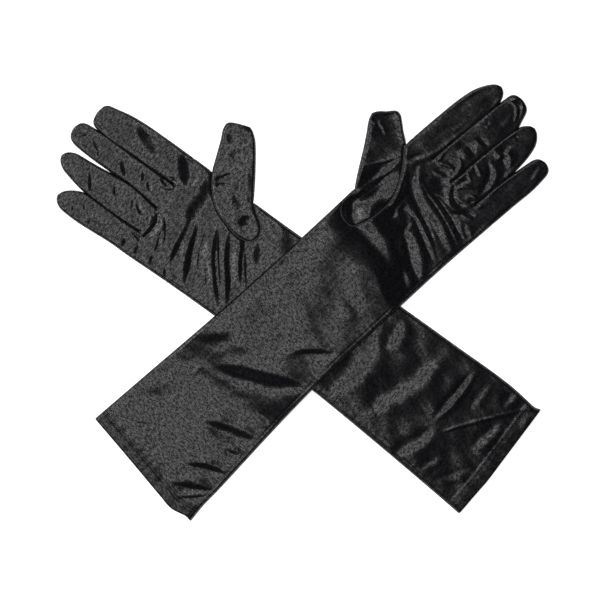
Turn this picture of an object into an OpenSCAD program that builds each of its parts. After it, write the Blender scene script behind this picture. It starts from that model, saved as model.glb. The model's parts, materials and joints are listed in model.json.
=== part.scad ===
// A pair of long stretch-satin gloves lying crossed, palms up.
// Millimetres, +Z up. The right glove lies on the floor, the left one lies over its sleeve.
// Every glove is drawn in its own frame: u runs from the cuff to the fingertips,
// v runs across, positive towards the thumb, and z is up.

/* [Placement] */
// left glove cuff centre, X
left_x = -121.86; // [-150:0.01:-90]
// left glove cuff centre, Y
left_y = -129.84; // [-150:0.01:-90]
// left glove direction, degrees from +X
left_turn = 43; // [30:0.5:60]
// right glove cuff centre, X
right_x = 149.84; // [90:0.01:170]
// right glove cuff centre, Y
right_y = -121.94; // [-150:0.01:-90]
// right glove direction, degrees from +X
right_turn = 143.5; // [120:0.5:150]

/* [Cloth] */
// thickness of one layer of cloth
cloth = 0.6; // [0.4:0.05:1]
// inside height where the layers stand apart
loft = 5.5; // [4.6:0.1:8]
// extra inside height at the cuff mouth
cuff_loft = 1.5; // [0:0.1:3]
// width of the rounded edge of the sleeve and hand
body_edge = 8; // [4:0.5:14]
// width of the rounded edge of a finger
finger_edge = 4; // [2.5:0.5:6]

/* [Lengths] */
// wrist line of the left glove from its cuff
left_wrist = 240; // [230:1:250]
// wrist line of the right glove from its cuff
right_wrist = 243; // [238:1:250]
// line where the fingers leave the hand
finger_root = 323; // [315:1:330]
// gap between two bodies at a bend
bend_gap = 0.4; // [0.2:0.1:1]
// width of the turned hem
hem_width = 10.5; // [8:0.5:14]
// thickness of the turned-in hem
hem_cloth = 0.5; // [0.3:0.1:0.8]
// length of the rounded fingertip
tip_length = 11; // [8:0.5:14]

/* [Drape] */
// height of the left glove where it crosses the right one
rise = 7.05; // [6.9:0.05:9]
// half width of the level part over the crossing
rise_flat = 40; // [30:1:50]
// distance from the crossing's middle where it meets the floor
rise_end = 95; // [70:1:120]
// sideways offset of the crossing's middle
rise_middle = 4; // [0:1:8]

/* [Stitches] */
// stitch length
stitch_length = 2.4; // [1.5:0.1:4]
// stitch width
stitch_width = 0.5; // [0.3:0.1:0.8]
// stitch height above the cloth
stitch_height = 0.25; // [0.15:0.05:0.5]

/* [Hidden] */
LEFT = 0;
RIGHT = 1;
WRIST = [left_wrist, right_wrist];

// edges of the flat glove: u, v
THUMB_EDGE = [
    [[0, 53.5], [60, 51], [120, 48.5], [180, 47], [330, 46.6]],
    [[0, 50.5], [60, 50.5], [130, 49.6], [180, 48.2], [220, 47], [330, 46.6]],
];
LITTLE_EDGE = [
    [[0, -52], [30, -50], [80, -46.5], [135, -43], [230, -42.2], [330, -44.8]],
    [[0, -50.5], [20, -49], [80, -45], [145, -41.5], [240, -40.5], [330, -43]],
];
// seam line of the thumb piece in the palm: u, v
THUMB_SEAM = [
    [[243, 33], [250, 25], [262, 21], [280, 21.5], [294, 27.5], [306, 36.5], [316, 46]],
    [[248, 28], [252, 20.5], [262, 18.8], [275, 21.8], [288, 26.5], [298, 35.6], [306.5, 46]],
];
// thumb beyond the palm's edge, by distance across: v, u
THUMB_BACK = [
    [[47, 264.5], [55, 276], [65, 290], [75, 303.5], [79.3, 309.5]],
    [[47, 267.5], [58, 275], [70, 283], [80, 291], [87, 296.5], [90.3, 301]],
];
THUMB_FRONT = [
    [[47, 317], [53, 322], [60, 327], [66, 329.2], [70, 327.5], [75, 321.5], [79.3, 312.5]],
    [[47, 306.7], [58, 311], [70, 315.5], [82, 319.3], [86, 317.5], [89, 311], [90.3, 304.5]],
];
// fingers: root centre, root half width, tip centre, tip half width, tip end
INDEX = [[35, 11.3, 30, 10.3, 399.5], [34.2, 11.7, 33.2, 10.6, 403.3]];
MIDDLE = [[11.7, 11, 8, 10, 404], [10.2, 11, 10.2, 10.3, 410.8]];
RING = [[-12.3, 11.6, -14.7, 9.3, 396.3], [-12, 10.4, -12, 9.8, 405.8]];
LITTLE = [[-34.9, 9.7, -37.9, 7.3, 384.5], [-33, 9.6, -36, 8, 390.4]];

function ease(t) = let (k = max(0, min(1, t))) k * k * (3 - 2 * k);
function mix(a, b, t) = a + (b - a) * t;
// rounded edge: 0 on the sewn margin, 1 where the layers are fully apart
function rounded(x, width) = x <= 1 ? 0 : sin(90 * min(1, (x - 1) / (width - 1)));

// signed distance of a point of the left glove from the right glove's middle line
function from_right(u, v) =
    let (
        x = left_x + u * cos(left_turn) - v * sin(left_turn) - right_x,
        y = left_y + u * sin(left_turn) + v * cos(left_turn) - right_y
    )
    x * sin(right_turn) - y * cos(right_turn);

// height of the underside of a glove above the floor
function under(side, u, v) =
    side == RIGHT ? 0
    : rise * ease((rise_end - abs(from_right(u, v) - rise_middle)) / (rise_end - rise_flat));

// inside height of the sleeve and hand
function body_inside(side, u, v) =
    let (
        lo = lookup(u, LITTLE_EDGE[side]),
        hi = lookup(u, THUMB_EDGE[side]),
        first = THUMB_BACK[side][0][1],
        last = THUMB_FRONT[side][0][1],
        open_side = min(ease((u - first + 12) / 10), ease((last + 10 - u) / 10)),
        near_thumb = max(rounded(hi - v, body_edge), open_side),
        at = min(rounded(v - lo, body_edge), near_thumb)
    )
    at * (loft + cuff_loft * ease((40 - u) / 40));

// inside height of a finger
function digit_inside(along, across, lo, hi, end) =
    loft * min(
        rounded(across - lo, finger_edge),
        rounded(hi - across, finger_edge),
        rounded(end + 1 - along, 9)
    );

// columns across one row, close together on the rounded edges
function columns(lo, hi, width) = width == 0 ? [lo, hi] :
    let (
        w = hi - lo,
        k = min(1, w / (2.2 * width)),
        near = [0, 1, 0.35 * width + 0.65, width]
    )
    concat(
        [for (d = near) lo + d * k],
        [for (i = [1:3]) mix(lo + width * k, hi - width * k, i / 4)],
        [for (i = [3:-1:0]) hi - near[i] * k]
    );

// triangles of a closed sheet of n rows and m columns
function sheet_faces(n, m, turned) =
    let (
        q = n * m,
        top = [for (i = [0:n - 2]) for (j = [0:m - 2]) for (f = [
            [i * m + j, (i + 1) * m + j + 1, (i + 1) * m + j],
            [i * m + j, i * m + j + 1, (i + 1) * m + j + 1]]) f],
        low = [for (f = top) [q + f[0], q + f[2], q + f[1]]],
        rim = concat(
            [for (j = [0:m - 1]) j],
            [for (i = [1:n - 1]) i * m + m - 1],
            [for (j = [m - 2:-1:0]) (n - 1) * m + j],
            [for (i = [n - 2:-1:1]) i * m]
        ),
        c = len(rim),
        wall = [for (i = [0:c - 1]) for (f = [
            [rim[i], rim[i] + q, rim[(i + 1) % c]],
            [rim[(i + 1) % c], rim[i] + q, rim[(i + 1) % c] + q]]) f],
        all = concat(top, low, wall)
    )
    turned ? [for (f = all) [f[0], f[2], f[1]]] : all;

// closed sheet between two height functions; rows are [along, lo, hi]
module sheet(rows, width, low, high, across = false) {
    cells = [for (r = rows) [for (w = columns(r[1], r[2], width)) [r[0], w, r[1], r[2]]]];
    flat = [for (r = cells) for (p = r) p];
    upper = [for (p = flat) across ? [p[1], p[0], high(p)] : [p[0], p[1], high(p)]];
    lower = [for (p = flat) across ? [p[1], p[0], low(p)] : [p[0], p[1], low(p)]];
    polyhedron(points = concat(upper, lower), faces = sheet_faces(len(rows), len(cells[0]), across));
}

// flat layer lying on the floor
module plate(rows, across = false) {
    outline = concat([for (r = rows) [r[0], r[1]]],
        [for (i = [len(rows) - 1:-1:0]) [rows[i][0], rows[i][2]]]);
    linear_extrude(cloth) polygon(across ? [for (p = outline) [p[1], p[0]]] : outline);
}

module placed(side) {
    if (side == LEFT)
        translate([left_x, left_y, 0]) rotate([0, 0, left_turn]) children();
    else
        translate([right_x, right_y, 0]) rotate([0, 0, right_turn]) mirror([0, 1, 0]) children();
}

// steps along the glove
function steps(a, b, n) = [for (i = [0:n]) mix(a, b, i / n)];
function sleeve_rows(side) = [for (u = steps(0, WRIST[side] - bend_gap / 2, 24))
    [u, lookup(u, LITTLE_EDGE[side]), lookup(u, THUMB_EDGE[side])]];
// both sides of the thumb seam share their rows, so that their edges run side by side
function seam_steps(side) = steps(THUMB_SEAM[side][0][0] + 0.3, THUMB_SEAM[side][6][0] - 1.2, 14);
function hand_steps(side) = concat(
    steps(WRIST[side] + bend_gap / 2, THUMB_SEAM[side][0][0], 1),
    [THUMB_SEAM[side][0][0] + 0.1],
    seam_steps(side),
    steps(THUMB_SEAM[side][6][0], finger_root - bend_gap / 2, 2)
);
function hand_rows(side, notch) =
    [for (u = hand_steps(side))
        [u, lookup(u, LITTLE_EDGE[side]),
            notch && u > THUMB_SEAM[side][0][0] && u < THUMB_SEAM[side][6][0]
                ? lookup(u, THUMB_SEAM[side]) - 0.05 : 46.6]];
function thumb_base_rows(side) =
    [for (u = seam_steps(side)) [u, lookup(u, THUMB_SEAM[side]) + 0.05, 46.6]];
function finger_rows(f) =
    let (
        start = finger_root + bend_gap / 2,
        shoulder = f[4] - tip_length,
        straight = steps(start, shoulder, 6),
        bend = [for (a = [15:13:80]) shoulder + tip_length * sin(a)]
    )
    [for (u = concat(straight, bend))
        let (
            s = (u - start) / (f[4] - start),
            k = max(0, (u - shoulder) / tip_length),
            half = mix(f[1], f[3], s) * sqrt(1 - k * k),
            mid = mix(f[0], f[2], s)
        )
        [u, mid - half, mid + half]];
function thumb_rows(side) =
    let (end = THUMB_BACK[side][len(THUMB_BACK[side]) - 1][0])
    [for (v = steps(47, end, 12))
        [v, lookup(v, THUMB_BACK[side]), lookup(v, THUMB_FRONT[side])]];

// layers
module body_top(side, rows) {
    placed(side) sheet(rows, body_edge,
        function (p) under(side, p[0], p[1]) + cloth + body_inside(side, p[0], p[1]),
        function (p) under(side, p[0], p[1]) + 2 * cloth + body_inside(side, p[0], p[1]));
}
module body_bottom(side, rows) {
    placed(side)
        if (side == RIGHT)
            plate(rows);
        else
            sheet(rows, body_edge,
                function (p) under(side, p[0], p[1]),
                function (p) under(side, p[0], p[1]) + cloth);
}
module finger_top(side, f) {
    placed(side) sheet(finger_rows(f), finger_edge,
        function (p) cloth + digit_inside(p[0], p[1], p[2], p[3], f[4]),
        function (p) 2 * cloth + digit_inside(p[0], p[1], p[2], p[3], f[4]));
}
module finger_bottom(side, f) {
    placed(side) plate(finger_rows(f));
}
module thumb_top(side) {
    end = THUMB_BACK[side][len(THUMB_BACK[side]) - 1][0];
    placed(side) sheet(thumb_rows(side), finger_edge,
        function (p) cloth + digit_inside(p[0], p[1], p[2], p[3], end),
        function (p) 2 * cloth + digit_inside(p[0], p[1], p[2], p[3], end),
        across = true);
}
module thumb_bottom(side) {
    placed(side) plate(thumb_rows(side), across = true);
}

// turned-in hem, inset so that it stays inside the rounded edges
function hem_rows(side) = [for (u = steps(0, hem_width, 3))
    [u, lookup(u, LITTLE_EDGE[side]) + body_edge + 1, lookup(u, THUMB_EDGE[side]) - body_edge - 1]];
module hem_top(side) {
    placed(side) sheet(hem_rows(side), body_edge,
        function (p) under(side, p[0], p[1]) + cloth + body_inside(side, p[0], p[1]) - hem_cloth - 0.15,
        function (p) under(side, p[0], p[1]) + cloth + body_inside(side, p[0], p[1]) - 0.15);
}
module hem_bottom(side) {
    placed(side) sheet(hem_rows(side), body_edge,
        function (p) under(side, p[0], p[1]) + cloth + 0.02,
        function (p) under(side, p[0], p[1]) + cloth + hem_cloth);
}

// one stitch lying on the top layer
module stitch(side, u, v, turn) {
    z = under(side, u, v) + 2 * cloth + body_inside(side, u, v) + 0.05;
    translate([u, v, z + stitch_height / 2]) rotate([0, 0, turn])
        cube([stitch_length, stitch_width, stitch_height], center = true);
}
module hem_row(side) {
    u = hem_width - 1.5;
    lo = lookup(u, LITTLE_EDGE[side]) + body_edge;
    hi = lookup(u, THUMB_EDGE[side]) - body_edge;
    count = floor((hi - lo) / (stitch_length + 0.8));
    placed(side) for (i = [0:count])
        stitch(side, u, mix(lo, hi, i / count), 90);
}
// the seam line runs on the rounded little-finger edge, so its stitches slope with it
module seam_row(side) {
    count = 48;
    margin = 3.5;
    placed(side) for (i = [0:count]) {
        u = mix(14, WRIST[side] - 4, i / count);
        v = lookup(u, LITTLE_EDGE[side]) + margin;
        a = under(side, u, v) + 2 * cloth + body_inside(side, u, v);
        ahead = under(side, u + 1, v) + 2 * cloth + body_inside(side, u + 1, v);
        translate([u, v, a + 0.35 + stitch_height / 2]) rotate([0, -atan(ahead - a), 0])
            cube([stitch_length + 0.6, stitch_width, stitch_height], center = true);
    }
}
// raised seam round the thumb piece
module thumb_seam(side) {
    seam = THUMB_SEAM[side];
    count = 36;
    path = [for (i = [0:count]) let (u = mix(seam[0][0] + 0.5, seam[6][0] - 1.5, i / count))
        [u, lookup(u, seam)]];
    rows = [for (p = path) [p[0], p[1] - 0.6, p[1] + 0.6]];
    placed(side) sheet(rows, 0,
        function (p) under(side, p[0], p[1]) + 2 * cloth + body_inside(side, p[0], p[1]) + 0.15,
        function (p) under(side, p[0], p[1]) + 2 * cloth + body_inside(side, p[0], p[1]) + 0.6);
}

module left_sleeve_palm_layer() { color("#17181c") body_top(LEFT, sleeve_rows(LEFT)); }
module left_sleeve_back_layer() { color("#141519") body_bottom(LEFT, sleeve_rows(LEFT)); }
module left_hem_palm_side() { color("#101114") hem_top(LEFT); }
module left_hem_back_side() { color("#101114") hem_bottom(LEFT); }
module left_hem_stitching() { color("#2a2b30") hem_row(LEFT); }
module left_side_seam_stitching() { color("#2a2b30") seam_row(LEFT); }
module left_palm() { color("#17181c") body_top(LEFT, hand_rows(LEFT, true)); }
module left_hand_back() { color("#141519") body_bottom(LEFT, hand_rows(LEFT, false)); }
module left_thumb_base() { color("#1c1d22") body_top(LEFT, thumb_base_rows(LEFT)); }
module left_thumb_seam() { color("#2a2b30") thumb_seam(LEFT); }
module left_index_palm_side() { color("#17181c") finger_top(LEFT, INDEX[LEFT]); }
module left_index_back() { color("#141519") finger_bottom(LEFT, INDEX[LEFT]); }
module left_middle_palm_side() { color("#17181c") finger_top(LEFT, MIDDLE[LEFT]); }
module left_middle_back() { color("#141519") finger_bottom(LEFT, MIDDLE[LEFT]); }
module left_ring_palm_side() { color("#17181c") finger_top(LEFT, RING[LEFT]); }
module left_ring_back() { color("#141519") finger_bottom(LEFT, RING[LEFT]); }
module left_little_palm_side() { color("#17181c") finger_top(LEFT, LITTLE[LEFT]); }
module left_little_back() { color("#141519") finger_bottom(LEFT, LITTLE[LEFT]); }
module left_thumb_palm_side() { color("#1c1d22") thumb_top(LEFT); }
module left_thumb_back() { color("#141519") thumb_bottom(LEFT); }
module right_sleeve_palm_layer() { color("#17181c") body_top(RIGHT, sleeve_rows(RIGHT)); }
module right_sleeve_back_layer() { color("#141519") body_bottom(RIGHT, sleeve_rows(RIGHT)); }
module right_hem_palm_side() { color("#101114") hem_top(RIGHT); }
module right_hem_back_side() { color("#101114") hem_bottom(RIGHT); }
module right_hem_stitching() { color("#2a2b30") hem_row(RIGHT); }
module right_side_seam_stitching() { color("#2a2b30") seam_row(RIGHT); }
module right_palm() { color("#17181c") body_top(RIGHT, hand_rows(RIGHT, true)); }
module right_hand_back() { color("#141519") body_bottom(RIGHT, hand_rows(RIGHT, false)); }
module right_thumb_base() { color("#1c1d22") body_top(RIGHT, thumb_base_rows(RIGHT)); }
module right_thumb_seam() { color("#2a2b30") thumb_seam(RIGHT); }
module right_index_palm_side() { color("#17181c") finger_top(RIGHT, INDEX[RIGHT]); }
module right_index_back() { color("#141519") finger_bottom(RIGHT, INDEX[RIGHT]); }
module right_middle_palm_side() { color("#17181c") finger_top(RIGHT, MIDDLE[RIGHT]); }
module right_middle_back() { color("#141519") finger_bottom(RIGHT, MIDDLE[RIGHT]); }
module right_ring_palm_side() { color("#17181c") finger_top(RIGHT, RING[RIGHT]); }
module right_ring_back() { color("#141519") finger_bottom(RIGHT, RING[RIGHT]); }
module right_little_palm_side() { color("#17181c") finger_top(RIGHT, LITTLE[RIGHT]); }
module right_little_back() { color("#141519") finger_bottom(RIGHT, LITTLE[RIGHT]); }
module right_thumb_palm_side() { color("#1c1d22") thumb_top(RIGHT); }
module right_thumb_back() { color("#141519") thumb_bottom(RIGHT); }

left_sleeve_palm_layer();
left_sleeve_back_layer();
left_hem_palm_side();
left_hem_back_side();
left_hem_stitching();
left_side_seam_stitching();
left_palm();
left_hand_back();
left_thumb_base();
left_thumb_seam();
left_index_palm_side();
left_index_back();
left_middle_palm_side();
left_middle_back();
left_ring_palm_side();
left_ring_back();
left_little_palm_side();
left_little_back();
left_thumb_palm_side();
left_thumb_back();
right_sleeve_palm_layer();
right_sleeve_back_layer();
right_hem_palm_side();
right_hem_back_side();
right_hem_stitching();
right_side_seam_stitching();
right_palm();
right_hand_back();
right_thumb_base();
right_thumb_seam();
right_index_palm_side();
right_index_back();
right_middle_palm_side();
right_middle_back();
right_ring_palm_side();
right_ring_back();
right_little_palm_side();
right_little_back();
right_thumb_palm_side();
right_thumb_back();
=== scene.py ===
"""A pair of long stretch-satin gloves lying crossed, palms up.

Each glove is drawn in its own millimetres: u runs from the cuff to the fingertips, v runs across and is
positive towards the thumb, and z is up. The gloves' places come from the frame's wrist joints.
"""

from __future__ import annotations

import json
import logging
import math
import sys
from dataclasses import dataclass, field
from enum import Enum
from typing import Callable, Sequence

import bpy
import numpy as np
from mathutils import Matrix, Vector

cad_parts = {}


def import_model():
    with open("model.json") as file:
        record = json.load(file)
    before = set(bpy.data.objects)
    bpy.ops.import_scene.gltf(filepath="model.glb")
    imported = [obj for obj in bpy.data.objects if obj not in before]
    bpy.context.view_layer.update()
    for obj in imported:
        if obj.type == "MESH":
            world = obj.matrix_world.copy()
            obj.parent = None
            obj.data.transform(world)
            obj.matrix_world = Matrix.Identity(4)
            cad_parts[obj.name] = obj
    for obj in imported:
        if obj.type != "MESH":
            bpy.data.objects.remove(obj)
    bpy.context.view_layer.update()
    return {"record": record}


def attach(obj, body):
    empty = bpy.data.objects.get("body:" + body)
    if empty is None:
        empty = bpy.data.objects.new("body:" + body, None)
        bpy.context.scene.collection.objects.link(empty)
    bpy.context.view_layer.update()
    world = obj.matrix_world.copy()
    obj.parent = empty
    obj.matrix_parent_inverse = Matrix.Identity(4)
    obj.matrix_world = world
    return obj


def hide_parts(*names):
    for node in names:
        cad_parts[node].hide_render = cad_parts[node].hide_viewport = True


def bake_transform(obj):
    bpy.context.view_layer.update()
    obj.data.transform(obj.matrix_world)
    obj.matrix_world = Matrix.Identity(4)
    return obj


LOG = logging.getLogger("gloves")
MM = 0.001
Points = tuple[tuple[float, float], ...]
# the way the light leaves the pair, in the frame's X and Y
AWAY_FROM_LIGHT = (0.8, -0.6)
# where the thumb (in v) and the fingers (in u) part from the hand
THUMB_LINE = 46.6
FINGER_LINE = 323.0
# height of the layers' meeting edge over the underside, and the least height of the palm side
EDGE_RISE = 0.5
LEAST_HEIGHT = 0.95
# how far the closed edge of the cloth stands out past its outline
EDGE_OUT = 0.35
DIGIT_EDGE_OUT = 0.3
# a round tip is drawn up to this share of a quarter turn, in this many rows
TIP_TURN = 0.485 * math.pi
TIP_ROWS = 12
# how many waves a ripple adds up, and what brings their sum to about 1
WAVES = 6
WAVE_SUM = 3.2
# half the length of cloth given for the bend at a wrist, and all of it at a digit's root; the pieces are not
# bent
WRIST_BEND = 11
DIGIT_BEND = 13
# where along the glove the thumb's root has its middle
THUMB_MIDDLE = 290


# ---- curves and waves ----


def ease(t: np.ndarray | float) -> np.ndarray:
    """Returns 0 below 0, 1 above 1 and a smooth step between."""
    k = np.clip(t, 0.0, 1.0)
    return k * k * (3.0 - 2.0 * k)


def along_curve(x: np.ndarray | float, points: Points) -> np.ndarray:
    """Reads a smooth curve through points.

    Args:
        x: Where to read it.
        points: (x, value) pairs with x rising.

    Returns:
        The values, held level beyond the ends.
    """
    px = np.array([p[0] for p in points], float)
    py = np.array([p[1] for p in points], float)
    x = np.clip(np.asarray(x, float), px[0], px[-1])
    secant = np.diff(py) / np.diff(px)
    slope = np.empty_like(py)
    slope[0], slope[-1] = secant[0], secant[-1]
    slope[1:-1] = 0.5 * (secant[:-1] + secant[1:])
    i = np.clip(np.searchsorted(px, x, side="right") - 1, 0, len(px) - 2)
    h = px[i + 1] - px[i]
    t = (x - px[i]) / h
    a = (1 + 2 * t) * (1 - t) ** 2
    b = t * (1 - t) ** 2
    c = t * t * (3 - 2 * t)
    d = t * t * (t - 1)
    return a * py[i] + b * h * slope[i] + c * py[i + 1] + d * h * slope[i + 1]


def dense_path(points: Points, step: float = 1.5) -> np.ndarray:
    """Turns a few given points into a smooth path.

    Args:
        points: The (u, v) points that it passes.
        step: Distance between the path's points in mm.

    Returns:
        An array of (u, v) points.
    """
    p = np.array(points, float)
    chord = np.concatenate([[0.0], np.cumsum(np.linalg.norm(np.diff(p, axis=0), axis=1))])
    straight = len(p) == 2
    s = np.linspace(0, chord[-1], max(3 if straight else 4, int(chord[-1] / step)))
    if straight:
        return np.stack([np.interp(s, chord, p[:, 0]), np.interp(s, chord, p[:, 1])], 1)
    return np.stack([along_curve(s, tuple(zip(chord, p[:, axis]))) for axis in (0, 1)], 1)


def spread(low: np.ndarray, high: np.ndarray, shares: np.ndarray) -> np.ndarray:
    """Places columns at shares of the way from low to high, one row for each pair."""
    return low[:, None] + (high - low)[:, None] * shares[None, :]


def ripple(u: np.ndarray, v: np.ndarray, length: float, seed: int) -> np.ndarray:
    """Soft irregular waves.

    Args:
        u: Positions along the glove.
        v: Positions across it.
        length: The waves' length in mm.
        seed: Picks the pattern.

    Returns:
        Values of about -1 to 1.
    """
    rng = np.random.default_rng(seed)
    total = np.zeros_like(u)
    for _ in range(WAVES):
        angle = rng.uniform(0, math.pi)
        k = 2 * math.pi / (length * rng.uniform(0.7, 1.5))
        wave = (u * math.cos(angle) + v * math.sin(angle)) * k
        total += np.sin(wave + rng.uniform(0, 6.28) + 0.6 * np.sin(0.37 * wave + rng.uniform(0, 6.28)))
    return total / WAVE_SUM


# ---- folds in the cloth ----


class Lie(Enum):
    """How the cloth goes along a fold."""

    RIDGE = "ridge"
    VALLEY = "valley"
    FALLING = "falls away from the light"
    RISING = "rises away from the light"


@dataclass(frozen=True)
class Fold:
    """One fold, crease or pucker: a path in (u, v), how wide and high it is, and which way it lies."""

    path: Points
    width: float
    height: float
    lie: Lie = Lie.RIDGE
    fade: float = 0.42

    def lift(self, u: np.ndarray, v: np.ndarray, away: np.ndarray) -> np.ndarray:
        """Height that the fold adds.

        Args:
            u: Positions along the glove.
            v: Positions across it.
            away: Unit vector in (u, v) that points away from the light.

        Returns:
            The heights in mm.
        """
        out = np.zeros_like(u)
        line = dense_path(self.path)
        reach = 3.0 * self.width
        near = (u > line[:, 0].min() - reach) & (u < line[:, 0].max() + reach)
        near &= (v > line[:, 1].min() - reach) & (v < line[:, 1].max() + reach)
        if not near.any():
            return out
        p = np.stack([u[near], v[near]], 1)
        best = np.full(len(p), 1e9)
        side = np.zeros(len(p))
        place = np.zeros(len(p))
        count = len(line) - 1
        for i in range(count):
            a, d = line[i], line[i + 1] - line[i]
            t = np.clip(((p - a) @ d) / (d @ d), 0.0, 1.0)
            gap = p - (a + t[:, None] * d)
            dist = np.hypot(gap[:, 0], gap[:, 1])
            normal = np.array([-d[1], d[0]]) / math.hypot(d[0], d[1])
            if normal @ away < 0:
                normal = -normal
            closer = dist < best
            best = np.where(closer, dist, best)
            side = np.where(closer, gap @ normal, side)
            place = np.where(closer, (i + t) / count, place)
        fade = ease(place / self.fade + 0.12) * ease((1.0 - place) / self.fade + 0.12)
        width = self.width * (0.5 + 0.5 * fade)
        bell = np.exp(-((best / width) ** 2))
        tilt = side / width
        shapes = {Lie.RIDGE: bell, Lie.VALLEY: -bell, Lie.FALLING: -tilt * bell, Lie.RISING: tilt * bell}
        out[near] = self.height * fade * shapes[self.lie]
        return out


def fold_maker(lie: Lie) -> Callable[..., Fold]:
    """Returns a short way to write folds of one lie: width, height, then the path's points."""
    return lambda width, height, *path, fade=0.42: Fold(path, width, height, lie, fade)


fall, rise, ridge, valley = map(fold_maker, (Lie.FALLING, Lie.RISING, Lie.RIDGE, Lie.VALLEY))


# ---- the form of a glove ----


@dataclass(frozen=True)
class Digit:
    """A finger or thumb: its two edges as curves of its length, and where its tip rounds off and ends."""

    name: str
    low_edge: Points
    high_edge: Points
    shoulder: float
    end: float
    square: float = 2.3

    def edges(self, at: np.ndarray) -> tuple[np.ndarray, np.ndarray]:
        """The two edges, drawn in to a round tip.

        Args:
            at: Positions along the digit: u for a finger, v for the thumb.

        Returns:
            The lower and the higher edge.
        """
        low, high = along_curve(at, self.low_edge), along_curve(at, self.high_edge)
        k = np.clip((at - self.shoulder) / (self.end - self.shoulder), 0.0, 0.995)
        shrink = (1.0 - k**self.square) ** (1 / self.square)
        middle, half = (low + high) / 2, (high - low) / 2 * shrink
        return middle - half, middle + half

    def rows(self, root: float, step: float) -> np.ndarray:
        """Positions of the rows from the root, closer together round the tip."""
        straight = np.linspace(root, self.shoulder, int((self.shoulder - root) / step) + 1)
        turn = np.linspace(0, TIP_TURN, TIP_ROWS + 1)[1:]
        return np.concatenate([straight, self.shoulder + (self.end - self.shoulder) * np.sin(turn)])


@dataclass
class GloveForm:
    """The outline, thickness and folds of one glove, with its place in the frame."""

    side: str
    wrist: float
    little_edge: Points
    thumb_edge: Points
    mouth: Points
    fingers: tuple[Digit, ...]
    thumb: Digit
    thumb_seam: Points
    folds: tuple[Fold, ...]
    seed: int
    drape: Callable[[np.ndarray, np.ndarray], np.ndarray]
    origin: np.ndarray = field(default_factory=lambda: np.zeros(2))
    along: np.ndarray = field(default_factory=lambda: np.array([1.0, 0.0]))
    across: np.ndarray = field(default_factory=lambda: np.array([0.0, 1.0]))
    body_height: float = 3.1
    digit_height: float = 2.7
    edge_height: float = 0.9
    body_round: float = 2.2
    digit_round: float = 1.9
    seam_inset: float = 3.4
    seam_depth: float = 0.12
    hem_width: float = 10.5
    row_depth: float = 0.5

    def place(self, joints: Sequence[dict]) -> None:
        """Takes the glove's place from its wrist joint.

        Args:
            joints: The record's joints.
        """
        joint = next(j for j in joints if j["name"] == f"{self.side}_wrist")
        axis = joint["axis"]
        self.along = np.array([-axis[1], axis[0]])
        turn = 1.0 if self.side == "left" else -1.0
        self.across = turn * np.array([-self.along[1], self.along[0]])
        centre = np.array(joint["pos_m"][:2]) / MM
        self.origin = centre - self.along * self.wrist - self.across * 2.0

    def to_frame(self, u: np.ndarray, v: np.ndarray, z: np.ndarray) -> np.ndarray:
        """Glove millimetres to frame metres.

        Args:
            u: Positions along the glove.
            v: Positions across it.
            z: Heights.

        Returns:
            An array of (x, y, z) rows.
        """
        xy = self.origin + np.outer(u, self.along) + np.outer(v, self.across)
        return np.column_stack([xy, z]) * MM

    def away(self) -> np.ndarray:
        """The way the light leaves the pair, in (u, v)."""
        w = np.array(AWAY_FROM_LIGHT)
        return np.array([w @ self.along, w @ self.across])

    def crotches(self) -> tuple[float, ...]:
        """The v of each point where two fingers part."""
        return tuple(f.low_edge[0][1] for f in self.fingers[:-1])

    def thumb_root(self) -> tuple[float, float]:
        """The u where the thumb leaves and meets the palm's edge."""
        return self.thumb.low_edge[0][1], self.thumb.high_edge[0][1]

    def body_inset(self, u: np.ndarray, v: np.ndarray) -> np.ndarray:
        """Distance of a point of the sleeve or hand from the glove's outline.

        Args:
            u: Positions along the glove.
            v: Positions across it.

        Returns:
            The distances in mm.
        """
        first, last = self.thumb_root()
        outer = along_curve(u, self.thumb_edge) - v
        inside = np.minimum(u - first, last - u)
        near_thumb = np.where(inside > 0, np.hypot(np.maximum(inside, 0), outer), outer)
        inset = np.minimum(v - along_curve(u, self.little_edge), near_thumb)
        for c in self.crotches():
            inset = np.minimum(inset, np.hypot(u - FINGER_LINE, v - c))
        return np.maximum(inset, 0.0)

    def slimness(self, u: np.ndarray, v: np.ndarray) -> np.ndarray:
        """How much the cloth is a digit's: 0 on the sleeve and palm, 1 on the fingers and thumb."""
        towards_thumb = ease((v - 34.0) / 12.5) * ease((u - 238.0) / 14.0)
        return np.maximum(ease((u - 285.0) / (FINGER_LINE - 285.0)), towards_thumb)

    def fullness(self, u: np.ndarray, v: np.ndarray, inset: np.ndarray) -> np.ndarray:
        """Rounded edge: 0 at the outline, 1 at its width inside it."""
        width = self.body_round + (self.digit_round - self.body_round) * self.slimness(u, v)
        k = 1.0 - np.clip(inset / width, 0.0, 1.0)
        return np.sqrt(np.maximum(1.0 - k * k, 0.0))

    def top(self, u: np.ndarray, v: np.ndarray, inset: np.ndarray) -> np.ndarray:
        """Height of the palm-side surface.

        Args:
            u: Positions along the glove.
            v: Positions across it.
            inset: Distances from the outline.

        Returns:
            The heights in mm.
        """
        full = self.fullness(u, v, inset)
        height = self.body_height + (self.digit_height - self.body_height) * self.slimness(u, v)
        z = self.drape(u, v) + EDGE_RISE + self.edge_height / 2
        z = z + (height - EDGE_RISE - self.edge_height / 2) * full
        soft = ease(inset / 5.0)
        long_wave = 0.19 + 0.11 * ease((u - 195.0) / 40.0)
        z = z + soft * (long_wave * ripple(u, v, 46, self.seed) + 0.10 * ripple(u, v, 17, self.seed + 1))
        z = z + soft * 0.03 * ripple(u, v, 6.5, self.seed + 2)
        away = self.away()
        for fold in self.folds:
            z = z + (0.25 + 0.75 * soft) * fold.lift(u, v, away)
        z = z + Fold(self.thumb_seam, 0.9, 0.5, Lie.VALLEY, 0.02).lift(u, v, away)
        z = z + self.seam_shape(u, v, inset)
        z = z + self.hem_shape(u, v)
        return np.maximum(z, self.drape(u, v) + LEAST_HEIGHT)

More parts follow.
